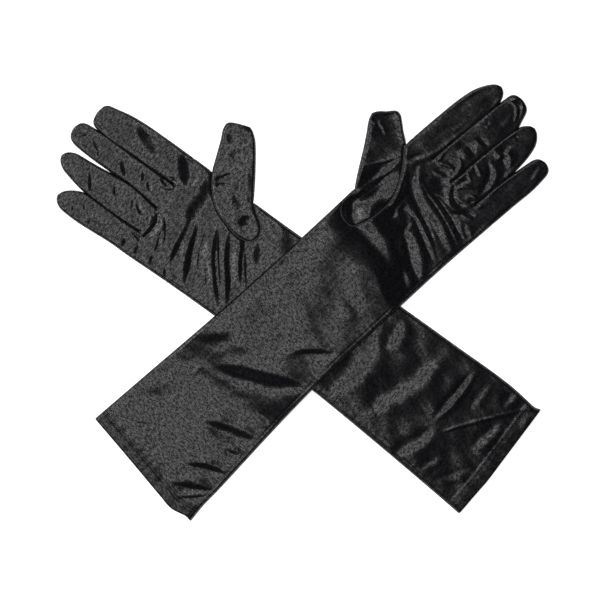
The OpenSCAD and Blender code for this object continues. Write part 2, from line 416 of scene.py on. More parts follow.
    def seam_shape(self, u: np.ndarray, v: np.ndarray, inset: np.ndarray) -> np.ndarray:
        """The little-finger side's sunken seam with its small gathers."""
        from_edge = v - along_curve(u, self.little_edge)
        groove = -self.seam_depth * np.exp(-(((from_edge - self.seam_inset) / 0.8) ** 2))
        near = np.exp(-((np.maximum(from_edge - self.seam_inset, 0) / 5.0) ** 2)) * ease(from_edge / 2.0)
        gather = 0.03 * np.sin(u * 0.9 + 3.0 * np.sin(u * 0.13)) * near
        return (groove + gather) * ease((self.wrist + 60 - u) / 25) * ease(inset / 0.8)

    def hem_shape(self, u: np.ndarray, v: np.ndarray) -> np.ndarray:
        """The turned hem: a thicker band with a sunken row of stitches."""
        band = 0.35 * ease((self.hem_width + 0.5 - u) / 1.0)
        row = -self.row_depth * np.exp(-(((u - self.hem_width + 2.0) / 0.9) ** 2))
        gather = 0.07 * np.sin(v * 0.8 + 2.7 * np.sin(v * 0.11)) * ease((26 - u) / 18)
        return band + row + gather

    def bottom(self, u: np.ndarray, v: np.ndarray, inset: np.ndarray) -> np.ndarray:
        """Height of the back-of-hand surface.

        Args:
            u: Positions along the glove.
            v: Positions across it.
            inset: Distances from the outline.

        Returns:
            The heights in mm.
        """
        full = self.fullness(u, v, inset)
        z = self.drape(u, v) + (LEAST_HEIGHT - self.edge_height / 2) * (1.0 - full)
        wave = 0.12 * (1.0 + ripple(u, v, 24, self.seed + 7)) + 0.05 * (1.0 + ripple(u, v, 8, self.seed + 8))
        return z + np.maximum(wave, 0.0) * ease(inset / 4.0)


LEFT_DRAPE_HEIGHT = 5.6
# distance from the right sleeve's middle line: a constant, then shares of the left glove's u and v
FROM_CROSSING = (-172.0, 0.9833, 0.1823)
# how far beyond the crease the cloth reaches the floor
DRAPE_FALL = 46.0
WRIST_CREASE: Points = ((-50, 214), (-26, 219), (-2, 230), (12, 234), (30, 241), (50, 250))


def lying_over(u: np.ndarray, v: np.ndarray) -> np.ndarray:
    """Height of the left glove's underside: level over the right sleeve, down to the floor on both sides.

    Args:
        u: Positions along the left glove.
        v: Positions across it.

    Returns:
        The heights in mm.
    """
    from_middle = FROM_CROSSING[0] + FROM_CROSSING[1] * u + FROM_CROSSING[2] * v
    near_cuff = ease((from_middle + 92.0) / 48.0)
    past = (u - along_curve(v, WRIST_CREASE)) / DRAPE_FALL
    soft = np.where(past < 0.06, 0.5 * (np.maximum(past + 0.06, 0) ** 2) / 0.12, past)
    near_hand = 1.0 - np.sin(0.5 * math.pi * np.clip(soft, 0.0, 1.0))
    crest = 1.0 + 0.32 * ease((u - 120.0) / 110.0) * (1.0 - ease((v - 8.0) / 26.0))
    return LEFT_DRAPE_HEIGHT * np.minimum(near_cuff, near_hand * crest)


def on_floor(u: np.ndarray, v: np.ndarray) -> np.ndarray:
    """Height of the right glove's underside, which lies on the floor."""
    return np.zeros_like(u)


def left_form() -> GloveForm:
    """The left glove, which lies on top."""
    fingers = (
        Digit("index", ((323, 23.2), (345, 21.6), (387, 18.8), (400, 20.5)),
               ((323, 44.8), (343.5, 44.0), (374, 41.7), (384, 39.6), (393, 36.0), (400, 34.0)),
               388, 399.8),
        Digit("middle", ((323, 0.2), (355, -1.6), (388, -4.4), (394, -2.4), (404, 1.0)),
               ((323, 23.2), (345, 22.0), (387, 19.2), (404, 17.4)), 398, 404.8, 2.8),
        Digit("ring", ((323, -24.6), (345, -26.2), (364, -27.1), (380, -25.6), (388, -23.4), (397, -19.5)),
               ((323, 0.2), (355, -1.2), (386, -4.2), (397, -7.0)), 387, 396.8),
        Digit("little", ((323, -44.7), (345, -45.6), (364, -46.7), (380, -45.6), (385, -44.8)),
               ((323, -24.6), (345, -25.8), (364, -27.9), (376, -29.6), (385, -31.4)), 377, 384.9, 2.8),
    )
    thumb = Digit(
        "thumb", ((46.6, 264.8), (53.5, 274), (65.5, 292), (72, 301), (80, 311)),
        ((46.6, 317), (53, 321.5), (60, 326.5), (65, 329.2), (69, 328.6), (74, 322.6), (80, 317)),
        75.5, 79.9, 2.6)
    folds = (
        # sleeve, on the cuff side of the crossing
        fall(7.0, 1.9, (93, 22), (106, 4), (118, -14), (136, -38)),
        fall(4.0, 0.9, (139, -10), (154, -19), (170, -36)),
        fall(6.0, 0.6, (97, 46), (111, 36), (126, 28)),
        fall(5.5, 1.35, (59, -3), (67, -16), (80, -43)),
        fall(3.4, 0.55, (93, -27), (94, -41)),
        fall(3.4, 0.6, (57, -30), (63, -43)),
        fall(3.4, 1.0, (27, -16), (38, -31), (46, -46)),
        fall(3.2, 1.0, (12, -21), (21, -34), (29, -48)),
        ridge(1.6, 0.4, (16, -19), (25, -31), (32, -40)),
        fall(2.6, 0.6, (8, -32), (23, -48)),
        fall(2.0, 0.35, (15, 42), (31, 18)),
        fall(7.0, 0.45, (150, 28), (160, 20), (176, 6)),
        fall(6.0, 0.45, (200, -8), (200, -28)),
        fall(10.0, 0.8, (28, 50), (45, 40), (62, 28)),
        fall(6.0, 0.3, (83, 30), (88, 14)),
        rise(7.0, 0.8, (54, 45), (69, 37), (92, 30)),
        rise(6.0, 0.8, (20, -10), (5, -24)),
        rise(8.0, 0.4, (128, 10), (140, -4), (150, -12)),
        # wrist, where the cloth falls away from the crossing
        rise(11.0, 3.8, (254, 42), (252, 17), (250, 3), (246, -20)),
        rise(13.5, 3.4, (260, 66), (259, 46), (258, 36), (257, 20), fade=0.3),
        rise(3.0, 0.3, (244, 4), (240, -6), (234, -20)),
        # hand: the lit faces of the cross folds
        rise(5.0, 1.5, (314, 27), (303, 19), (297, 10), (294, -2), (292, -16), (288, -29), (284, -41)),
        ridge(1.0, 0.55, (307, 18), (304, 6), (303, -3), (300, -19), (293, -41)),
        valley(2.2, 0.9, (304, 10), (306, -4), (304, -18), (298, -40)),
        rise(2.6, 0.8, (284, 10), (284, -1), (279, -16), (271, -37)),
        valley(1.8, 0.5, (289, 4), (286, -10), (281, -26)),
        rise(6.2, 1.8, (266, 6), (270, -3), (267, -15), (261, -26), (253, -40)),
        rise(4.0, 0.7, (251, -22), (243, -38)),
        rise(3.0, 0.6, (308, -30), (304, -41)),
        fall(5.0, 0.8, (276, 20), (278, 8), (276, 0)),
        fall(7.0, 0.9, (316, 14), (310, 2), (310, -4)),
        rise(2.8, 0.9, (307, 36), (316, 31), (327, 26)),
        fall(4.0, 0.8, (306, 31), (296, 24), (284, 18), (272, 15)),
        # gathers where the fingers part
        ridge(1.8, 0.9, (321, -1), (313, -7), (309, -13), (311, -20), (317, -26)),
        rise(2.2, 0.8, (311, -22), (317, -32)),
        valley(1.4, 0.8, (322, -4), (316, -9), (315, -16), (319, -22)),
        ridge(1.2, 0.7, (322, 21), (327, 15), (330, 8), (328, 3)),
        rise(2.0, 0.7, (318, 17), (322, 9), (324, 4)),
        ridge(0.9, 0.6, (321, 24), (327, 19), (334, 21)),
        valley(1.0, 0.6, (324, 25), (330, 23), (336, 20)),
        ridge(1.2, 0.8, (322, 0), (330, -2), (336, -3), (333, -10)),
        ridge(1.0, 0.7, (319, -5), (327, -9), (333, -17)),
        valley(1.0, 0.6, (324, -4), (330, -6), (334, -9)),
        ridge(0.9, 0.7, (321, -16), (327, -19), (326, -23), (321, -23)),
        ridge(0.9, 0.6, (321, -25), (324, -28), (328, -30)),
        valley(1.0, 0.6, (320, -20), (323, -21), (325, -26)),
        # lit spots and rings on the fingers
        rise(4.0, 1.4, (341, 15), (346, 12), (349, 3)),
        ridge(1.3, 0.6, (340, 11), (337, 5), (330, 2), (324, 2)),
        rise(2.4, 0.9, (358, 12), (361, 1)),
        rise(1.6, 0.5, (371, 14), (373, 12)),
        rise(1.6, 0.5, (380, -7), (382, -10)),
        rise(4.4, 1.5, (363, -4), (366, -13), (361, -22)),
        rise(3.4, 1.3, (354, -7), (350, -17), (340, -22), (330, -23)),
        rise(1.8, 0.7, (344, -2), (341, -12)),
        rise(1.5, 0.5, (357, -23), (355, -27)),
        ridge(0.9, 0.7, (394, 15), (398, 12), (397, 7), (388, 0)),
        ridge(1.0, 0.7, (396, 16), (402, 12), (402, 6), (396, 1)),
        valley(1.3, 0.6, (399, 13), (400, 8), (397, 4)),
        rise(2.4, 0.2, (338, 34), (348, 30), (362, 26)),
        rise(4.0, 0.2, (362, 38), (376, 34), (390, 30)),
        rise(3.0, 0.3, (372, 8), (384, 6), (392, 8)),
        rise(2.6, 0.3, (366, -40), (376, -38), (380, -36)),
        # thumb and its base
        rise(3.8, 1.2, (256, 45), (280, 42.5), (308, 39)),
        rise(9.0, 2.9, (244, 36), (254, 33), (264, 30.5), (278, 29.5), (300, 31), fade=0.25),
        valley(1.2, 0.7, (257, 41), (276, 38.5), (297, 36.5)),
        fall(16.0, 1.7, (311, 88), (313, 66), (314, 46)),
        ridge(1.0, 0.45, (278, 57), (290, 50), (306, 41)),
        rise(1.6, 0.6, (310, 78), (312, 70), (310, 60)),
        ridge(1.2, 0.5, (245, 40), (243, 34), (246, 26)),
    )
    return GloveForm(
        side="left",
        wrist=240.0,
        little_edge=((0, -53), (14, -51), (30, -50.2), (80, -46.5), (135, -43), (190, -42.2), (230, -42.3),
                     (280, -43), (330, -44.9)),
        thumb_edge=((0, 53.4), (60, 51), (120, 48.4), (180, 47), (240, 46.6), (298, 46.5), (314, 44.9),
                    (323, 44.8)),
        mouth=((-54, 0.4), (-48, 0.7), (-44, -0.8), (-36, -3.5), (-24, -3.2), (0, -1.9), (30, -0.4),
               (54, 0.6)),
        fingers=fingers,
        thumb=thumb,
        thumb_seam=((252, 46), (245, 41), (242.5, 34), (244, 27.5), (251, 23.4), (263, 20.8), (280, 21.4),
                    (294, 27.6), (306, 36.4), (316, 46)),
        folds=folds,
        seed=11,
        drape=lying_over,
    )


def right_form() -> GloveForm:
    """The right glove, which lies underneath."""
    fingers = (
        Digit("index", ((323, 21.4), (345, 20.7), (361, 20.5), (392, 20.0), (404, 22.4)),
               ((323, 46.6), (350, 46.3), (372, 45.5), (384, 44.0), (392, 42.2), (404, 39.6)),
               397, 403.9, 3.2),
        Digit("middle", ((323, -0.9), (351, 1.4), (366, 0.6), (398, 0.6), (411, 2.2)),
               ((323, 21.4), (345, 21.1), (361, 20.9), (392, 20.4), (404, 19.4), (411, 18.6)),
               402, 411.3, 2.8),
        Digit("ring", ((323, -22.9), (339, -24.0), (364, -24.2), (380, -23.4), (396, -20.2), (406, -17.6)),
               ((323, -0.9), (351, 1.8), (366, 0.2), (380, -1.8), (397, -3.6), (406, -5.2)), 396, 406.4),
        Digit("little", ((323, -42.8), (335, -42.8), (368, -45.2), (382, -44.8), (391, -43.6)),
               ((323, -22.9), (339, -23.6), (364, -23.7), (376, -24.4), (386, -29.0), (391, -31.4)),
               381, 390.8),
    )
    thumb = Digit(
        "thumb", ((46.6, 267.3), (57, 274), (66, 280), (74.5, 286), (82.5, 292), (91, 299.4)),
        ((46.6, 306.7), (58, 311), (70, 315.6), (80, 319.6), (85, 318.4), (91, 308)),
        84.5, 91.2, 2.6)
    folds = (
        # the row of cross folds from the fingers to the wrist
        fall(4.2, 1.2, (299, 8), (296, -4), (294, -16), (291, -31)),
        fall(4.6, 1.5, (293, 10), (286, -8), (279, -23), (271, -38)),
        fall(2.4, 0.7, (285, 11), (279, -7), (269, -24)),
        fall(4.8, 1.6, (279, 17), (268, -2), (256, -17), (242, -33)),
        ridge(1.2, 0.5, (275, 12), (264, -4), (252, -18), (242, -28)),
        fall(4.4, 1.4, (270, 19), (257, -2), (247, -14), (236, -30)),
        fall(4.0, 1.2, (258, 20), (248, 5), (237, -11)),
        ridge(1.3, 0.5, (253, 16), (243, 2), (233, -11)),
        fall(2.0, 0.6, (269, -12), (257, -28)),
        fall(5.0, 0.7, (247, 24), (237, 8)),
        fall(2.2, 0.7, (310, -15), (305, -30)),
        fall(1.8, 0.6, (314, -4), (306, -15), (302, -27)),
        # larger faces turned away from the light
        fall(9.0, 1.7, (304, 42), (302, 25), (302, 12), (298, 2)),
        fall(8.0, 1.5, (333, 47), (328, 38), (321, 30), (318, 24)),
        fall(9.0, 1.8, (378, 44), (364, 38), (354, 34), (346, 28)),
        rise(5.0, 0.7, (310, 42), (312, 32), (311, 24)),
        # gathers where the fingers part
        valley(1.7, 1.1, (324, -1), (318, -8), (317, -16), (319, -24), (323, -28)),
        ridge(1.4, 0.6, (319, -2), (313, -8), (312, -16), (315, -24)),
        valley(1.4, 0.8, (340, -5), (334, -9), (327, -11)),
        ridge(1.0, 0.6, (332, -1), (327, -6), (323, -10), (322, -16)),
        valley(1.0, 0.6, (330, -3), (325, -8), (323, -14)),
        valley(1.2, 0.6, (342, 13), (338, 9), (334, 6)),
        valley(1.3, 0.8, (338, 22), (329, 19), (325, 23), (332, 24)),
        ridge(1.2, 0.6, (338, 18), (328, 16), (322, 22), (328, 27)),
        ridge(0.8, 0.5, (328, -21), (322, -23), (318, -26)),
        valley(1.0, 0.6, (330, -26), (322, -27), (317, -30)),
        fall(2.6, 0.8, (330, -33), (328, -41)),
        fall(2.6, 0.8, (319, -31), (317, -40)),
        fall(2.4, 0.8, (306, -31), (303, -39)),
        fall(2.2, 0.7, (292, -34), (288, -40)),
        # fingers
        fall(3.4, 0.9, (384, -6), (371, -23)),
        fall(2.2, 0.6, (362, -5), (354, -14)),
        fall(3.2, 0.8, (368, -37), (354, -37), (343, -31)),
        fall(2.2, 0.6, (372, -31), (366, -36)),
        fall(3.6, 0.8, (369, 14), (357, 3)),
        fall(2.6, 0.7, (396, 13), (385, 8), (379, 15)),
        fall(2.8, 0.7, (406, 4), (399, 16)),
        fall(2.4, 0.6, (350, 16), (344, 8)),
        fall(3.0, 0.5, (344, -4), (338, -16)),
        fall(2.0, 0.5, (378, -36), (374, -42)),
        # thumb and its base
        valley(3.0, 1.6, (267, 33.5), (260, 30.5)),
        valley(1.5, 0.8, (302, 41), (297, 48), (292, 56)),
        valley(1.5, 0.8, (299, 39), (296, 42), (291, 46)),
        valley(1.5, 0.6, (298, 36), (292, 36), (286, 35)),
        fall(4.0, 0.7, (283, 43), (269, 43)),
        fall(6.0, 1.0, (318, 78), (310, 82), (300, 88)),
        fall(4.0, 0.7, (306, 66), (300, 72), (294, 78)),
        fall(3.0, 0.5, (262, 12), (252, 12)),
        rise(4.0, 0.4, (288, 62), (282, 54), (278, 46)),
        # sleeve beyond the crossing
        rise(9.5, 1.7, (82, 40), (83, 26), (87, 6), (98, -20), (105, -36)),
        rise(7.0, 1.1, (123, 43), (118, 30), (120, 14)),
        rise(10.0, 1.3, (126, 18), (127, -10), (134, -38)),
        rise(3.6, 1.2, (55, 44), (55, 23), (56, 10), (58, -6)),
        rise(6.0, 1.1, (53, -8), (56, -25), (67, -45)),
        rise(4.0, 0.8, (20, 49), (23, 34)),
        rise(5.0, 0.9, (17, 24), (19, 8), (22, -5)),
        rise(4.0, 0.45, (40, 43), (40, 18)),
        rise(3.5, 0.5, (14, -18), (22, -32), (32, -45)),
        rise(3.5, 0.5, (36, -24), (45, -44)),
        rise(3.0, 0.5, (5, 42), (5, 28)),
        ridge(0.9, 0.5, (-1, 50), (9, 43), (17, 33), (32, 13), (49, -10), fade=0.16),
    )
    return GloveForm(
        side="right",
        wrist=243.0,
        little_edge=((0, -50.5), (20, -49), (80, -45), (145, -41.6), (200, -40.4), (240, -40.3), (280, -41),
                     (330, -43)),
        thumb_edge=((0, 49.9), (4, 48.6), (12, 49.3), (26, 50.8), (80, 50.4), (130, 49.6), (180, 48.2),
                    (222, 47), (250, 46.6), (323, 46.6)),
        mouth=((-51, 0.2), (-44, -0.3), (-28, -1.5), (-20, -2.2), (0, -2.5), (51, -2.8)),
        fingers=fingers,
        thumb=thumb,
        thumb_seam=((266.5, 45.8), (261, 41.5), (252, 35.4), (248.4, 28), (251.6, 21.2), (262, 18.8),
                    (275, 21.6), (288, 26.6), (298, 35.4), (306, 46)),
        folds=folds,
        seed=41,
        drape=on_floor,
        seam_depth=0.14,
        row_depth=0.15,
    )


# ---- meshes ----


def place_mesh(mesh: bpy.types.Mesh, material: bpy.types.Material) -> bpy.types.Object:
    """Puts a smooth mesh in the scene.

    Args:
        mesh: The mesh, which gives the piece its name.
        material: Its material.

    Returns:
        The object.
    """
    mesh.polygons.foreach_set("use_smooth", [True] * len(mesh.polygons))
    mesh.materials.append(material)
    mesh.validate()
    mesh.update()
    piece = bpy.data.objects.new(mesh.name, mesh)
    bpy.context.scene.collection.objects.link(piece)
    return piece


@dataclass
class ClothMesh:
    """Collects grids of cloth with a (u, v) for every vertex, and turns them into one mesh."""

    form: GloveForm
    points: list[np.ndarray] = field(default_factory=list)
    marks: list[np.ndarray] = field(default_factory=list)
    faces: list[np.ndarray] = field(default_factory=list)
    count: int = 0

    def add_points(self, u: np.ndarray, v: np.ndarray, z: np.ndarray) -> np.ndarray:
        """Adds vertices.

        Args:
            u: Positions along the glove, in any shape.
            v: Positions across it.
            z: Heights.

        Returns:
            Their numbers, in the same shape.
        """
        ids = np.arange(self.count, self.count + u.size).reshape(u.shape)
        self.points.append(self.form.to_frame(u.ravel(), v.ravel(), z.ravel()))
        self.marks.append(np.column_stack([u.ravel(), v.ravel()]))
        self.count += u.size
        return ids

    def add_quads(self, ids: np.ndarray, flip: bool) -> None:
        """Joins a grid of vertex numbers with four-sided faces.

        Args:
            ids: Vertex numbers in rows and columns.
            flip: Turns the faces over.
        """
        a, b, c, d = ids[:-1, :-1], ids[1:, :-1], ids[1:, 1:], ids[:-1, 1:]
        quads = np.stack([a, d, c, b] if flip else [a, b, c, d], -1).reshape(-1, 4)
        self.faces.append(quads)

    def add_layers(self, u: np.ndarray, v: np.ndarray, top: np.ndarray, bottom: np.ndarray,
                   flip: bool) -> tuple[np.ndarray, np.ndarray]:
        """Adds a palm-side layer and a back layer.

        Args:
            u: Positions along the glove, in rows and columns.
            v: Positions across it.
            top: Heights of the palm side.
            bottom: Heights of the back.
            flip: Turns the faces over.

        Returns:
            The vertex numbers of both layers.
        """
        layers = self.add_points(u, v, top), self.add_points(u, v, bottom)
        self.add_quads(layers[0], flip)
        self.add_quads(layers[1], not flip)
        return layers

    def close(self, top: np.ndarray, bottom: np.ndarray, u: np.ndarray, v: np.ndarray, z: np.ndarray,
              flip: bool) -> None:
        """Closes one edge between two layers with a rounded strip.

        Args:
            top: Vertex numbers along the palm side's edge.
            bottom: Vertex numbers along the back's edge.
            u: Positions of the strip's middle line along the glove.
            v: Its positions across the glove.
            z: Its heights.
            flip: Turns the strip over.
        """
        self.add_quads(np.stack([top, self.add_points(u, v, z), bottom]), flip)

    def make(self, name: str, material: bpy.types.Material) -> bpy.types.Object:
        """Makes the Blender object.

        Args:
            name: The piece's name.
            material: Its material.

        Returns:
            The object.
        """
        verts = np.concatenate(self.points)
        marks = np.concatenate(self.marks)
        quads = np.concatenate(self.faces)
        mesh = bpy.data.meshes.new(name)
        mesh.from_pydata(verts.tolist(), [], quads.tolist())
        layer = mesh.uv_layers.new(name="cloth")
        loops = np.empty(len(mesh.loops), np.int32)
        mesh.loops.foreach_get("vertex_index", loops)
        layer.data.foreach_set("uv", (marks[loops] / 100.0).astype(np.float32).ravel())
        return place_mesh(mesh, material)


def join_normals(pieces: Sequence[bpy.types.Object]) -> None:
    """Gives vertices that lie together on several pieces one shared normal, so that no cut shows.

    Args:
        pieces: Pieces of one glove that meet at their cut rows.
    """
    coords, normals, owners = [], [], []
    for number, piece in enumerate(pieces):
        n = len(piece.data.vertices)
        co = np.empty(n * 3, np.float32)
        no = np.empty(n * 3, np.float32)
        piece.data.vertices.foreach_get("co", co)
        piece.data.vertex_normals.foreach_get("vector", no)
        coords.append(co.reshape(-1, 3))
        normals.append(no.reshape(-1, 3))
        owners.append(np.full(n, number))
    co = np.concatenate(coords)
    no = np.concatenate(normals)
    keys = np.round(co / 2e-6).astype(np.int64)
    _, group = np.unique(keys, axis=0, return_inverse=True)
    group = group.ravel()
    total = np.zeros((group.max() + 1, 3))
    np.add.at(total, group, no)
    size = np.linalg.norm(total, axis=1, keepdims=True)
    shared = (total / np.maximum(size, 1e-9))[group]
    owner = np.concatenate(owners)
    for number, piece in enumerate(pieces):
        piece.data.normals_split_custom_set_from_vertices(shared[owner == number].tolist())


@dataclass
class ThreadMesh:
    """Collects short round threads and turns them into one mesh."""

    radius: float
    sides: int = 6
    verts: list[np.ndarray] = field(default_factory=list)
    faces: list[tuple[int, ...]] = field(default_factory=list)
    count: int = 0

    def add(self, path: np.ndarray, radius: float | None = None) -> None:
        """Adds one thread.

        Args:
            path: Its points in metres.
            radius: Its radius in mm, or None for the usual one.
        """
        r = (self.radius if radius is None else radius) * MM
        n = len(path)
        ahead = np.gradient(path, axis=0)
        ahead /= np.maximum(np.linalg.norm(ahead, axis=1, keepdims=True), 1e-12)
        across = np.cross(ahead, [0.0, 0.0, 1.0])
        across /= np.maximum(np.linalg.norm(across, axis=1, keepdims=True), 1e-12)
        up = np.cross(across, ahead)
        place = np.linspace(0, 1, n)
        thin = np.clip(np.sqrt(np.maximum(1 - (2 * place - 1) ** 4, 0.0)), 0.25, 1.0)
        base = self.count
        for k in range(self.sides):
            a = 2 * math.pi * k / self.sides
            self.verts.append(path + (r * thin)[:, None] * (math.cos(a) * across + math.sin(a) * up))
        self.count += n * self.sides
        for k in range(self.sides):
            one, two = base + k * n, base + (k + 1) % self.sides * n
            for i in range(n - 1):
                self.faces.append((one + i, one + i + 1, two + i + 1, two + i))
        self.faces.append(tuple(base + k * n for k in range(self.sides)))
        self.faces.append(tuple(base + k * n + n - 1 for k in reversed(range(self.sides))))

    def make(self, name: str, material: bpy.types.Material) -> bpy.types.Object:
        """Makes the Blender object.

        Args:
            name: The piece's name.
            material: Its material.

        Returns:
            The object.
        """
        mesh = bpy.data.meshes.new(name)
        mesh.from_pydata(np.concatenate(self.verts).tolist(), [], self.faces)
        return place_mesh(mesh, material)


# ---- finishes ----


def new_material(name: str) -> tuple[bpy.types.Material, bpy.types.Node]:
    """Makes an empty node material.

    Args:
        name: The material's name.

    Returns:
        The material and its Principled shader.
    """
    material = bpy.data.materials.new(name)
    material.use_nodes = True
    return material, material.node_tree.nodes["Principled BSDF"]


def add_node(tree: bpy.types.NodeTree, kind: str, **values: float | tuple[float, ...]) -> bpy.types.Node:
    """Adds a shader node.

    Args:
        tree: The node tree.
        kind: The node's type, after ShaderNode.
        values: Its inputs' values, with _ for each space in an input's name.

    Returns:
        The node.
    """
    node = tree.nodes.new(f"ShaderNode{kind}")
    for name, value in values.items():
        node.inputs[name.replace("_", " ")].default_value = value
    return node


def wire(tree: bpy.types.NodeTree, *wires: tuple) -> None:
    """Joins nodes: each wire is a node, its output, a second node and its input."""
    for source, output, target, into in wires:
        tree.links.new(source.outputs[output], target.inputs[into])


def shade_mix(tree: bpy.types.NodeTree, dark: tuple[float, ...], light: tuple[float, ...]) -> bpy.types.Node:
    """Adds a node that goes from a dark colour to a light one."""
    shade = add_node(tree, "Mix")
    shade.data_type = "RGBA"
    shade.inputs[6].default_value = (*dark, 1.0)
    shade.inputs[7].default_value = (*light, 1.0)
    return shade


def grain_group() -> bpy.types.NodeTree:
    """The fine crimp of stretch satin: a height, and where its glossy floats lie.

    Returns:
        The node group, with Height and Floats outputs.
    """
    found = bpy.data.node_groups.get("satin_grain")
    if found:
        return found
    tree = bpy.data.node_groups.new("satin_grain", "ShaderNodeTree")
    for name, value in (("Crimp Size", 60.0), ("Thread Size", 110.0), ("Thread Share", 0.45)):
        socket = tree.interface.new_socket(name, in_out="INPUT", socket_type="NodeSocketFloat")
        socket.default_value = value
    for name in ("Height", "Floats"):
        tree.interface.new_socket(name, in_out="OUTPUT", socket_type="NodeSocketFloat")
    into, out = tree.nodes.new("NodeGroupInput"), tree.nodes.new("NodeGroupOutput")
    uv = add_node(tree, "UVMap")
    uv.uv_map = "cloth"
    stretch = add_node(tree, "Mapping", Scale=(1.0, 0.55, 1.0))
    crimp = add_node(tree, "TexNoise", Detail=3.0, Roughness=0.62)
    thread = add_node(tree, "TexNoise", Detail=1.0)
    blend = add_node(tree, "Mix")
    blend.data_type = "FLOAT"
    floats = add_node(tree, "MapRange", From_Min=0.43, From_Max=0.59)
    wire(tree, (uv, "UV", stretch, "Vector"), (stretch, "Vector", crimp, "Vector"),
         (uv, "UV", thread, "Vector"), (into, "Crimp Size", crimp, "Scale"),
         (into, "Thread Size", thread, "Scale"),
         (into, "Thread Share", blend, 0), (crimp, "Fac", blend, 2), (thread, "Fac", blend, 3),
         (blend, 0, out, "Height"), (blend, 0, floats, "Value"), (floats, "Result", out, "Floats"))
    return tree


@dataclass(frozen=True)
class SatinFinish:
    """Black stretch satin: glossy floats over a fine dull crimp."""

    name: str
    color: tuple[float, float, float] = (0.003, 0.003, 0.004)
    light_color: tuple[float, float, float] = (0.008, 0.008, 0.0095)
    roughness: float = 0.26
    float_roughness: float = 0.18
    bump: float = 0.8
    bump_depth: float = 0.00018
    specular: float = 0.10
    coat_ior: float = 1.52

    def material(self) -> bpy.types.Material:
        """Makes the material."""
        material, shader = new_material(self.name)
        tree = material.node_tree
        grain = tree.nodes.new("ShaderNodeGroup")
        grain.node_tree = grain_group()
        shade = shade_mix(tree, self.color, self.light_color)
        bump = add_node(tree, "Bump", Strength=self.bump, Distance=self.bump_depth)
        wire(tree, (grain, "Floats", shade, 0), (shade, 2, shader, "Base Color"),
             (grain, "Floats", shader, "Coat Weight"), (grain, "Height", bump, "Height"),
             (bump, "Normal", shader, "Normal"))
        shader.inputs["Roughness"].default_value = self.roughness
        shader.inputs["Specular IOR Level"].default_value = self.specular
        shader.inputs["Coat Roughness"].default_value = self.float_roughness
        shader.inputs["Coat IOR"].default_value = self.coat_ior
        return material


@dataclass(frozen=True)
class ThreadFinish:
    """Black sewing thread, a little duller than the satin."""

    name: str
    color: tuple[float, float, float] = (0.012, 0.012, 0.014)
    light_color: tuple[float, float, float] = (0.03, 0.03, 0.033)
    roughness: float = 0.5

    def material(self) -> bpy.types.Material:
        """Makes the material."""
        material, shader = new_material(self.name)
        tree = material.node_tree
        place = add_node(tree, "TexCoord")
        twist = add_node(tree, "TexNoise", Scale=2600.0)
        shade = shade_mix(tree, self.color, self.light_color)
        bump = add_node(tree, "Bump", Strength=0.4, Distance=0.0001)
        wire(tree, (place, "Object", twist, "Vector"), (twist, "Fac", shade, 0),
             (shade, 2, shader, "Base Color"), (twist, "Fac", bump, "Height"),
             (bump, "Normal", shader, "Normal"))
        shader.inputs["Roughness"].default_value = self.roughness
        return material


@dataclass(frozen=True)
class FloorFinish:
    """Plain matt white."""

    name: str = "plain_floor"
    color: tuple[float, float, float] = (0.86, 0.86, 0.86)
    glow: float = 0.8

    def material(self) -> bpy.types.Material:
        """Makes the material."""
        material, shader = new_material(self.name)
        shader.inputs["Base Color"].default_value = (*self.color, 1.0)
        shader.inputs["Roughness"].default_value = 0.9
        shader.inputs["Specular IOR Level"].default_value = 0.1
        shader.inputs["Emission Color"].default_value = (1.0, 1.0, 1.0, 1.0)
        shader.inputs["Emission Strength"].default_value = self.glow
        return material


# ---- gloves ----


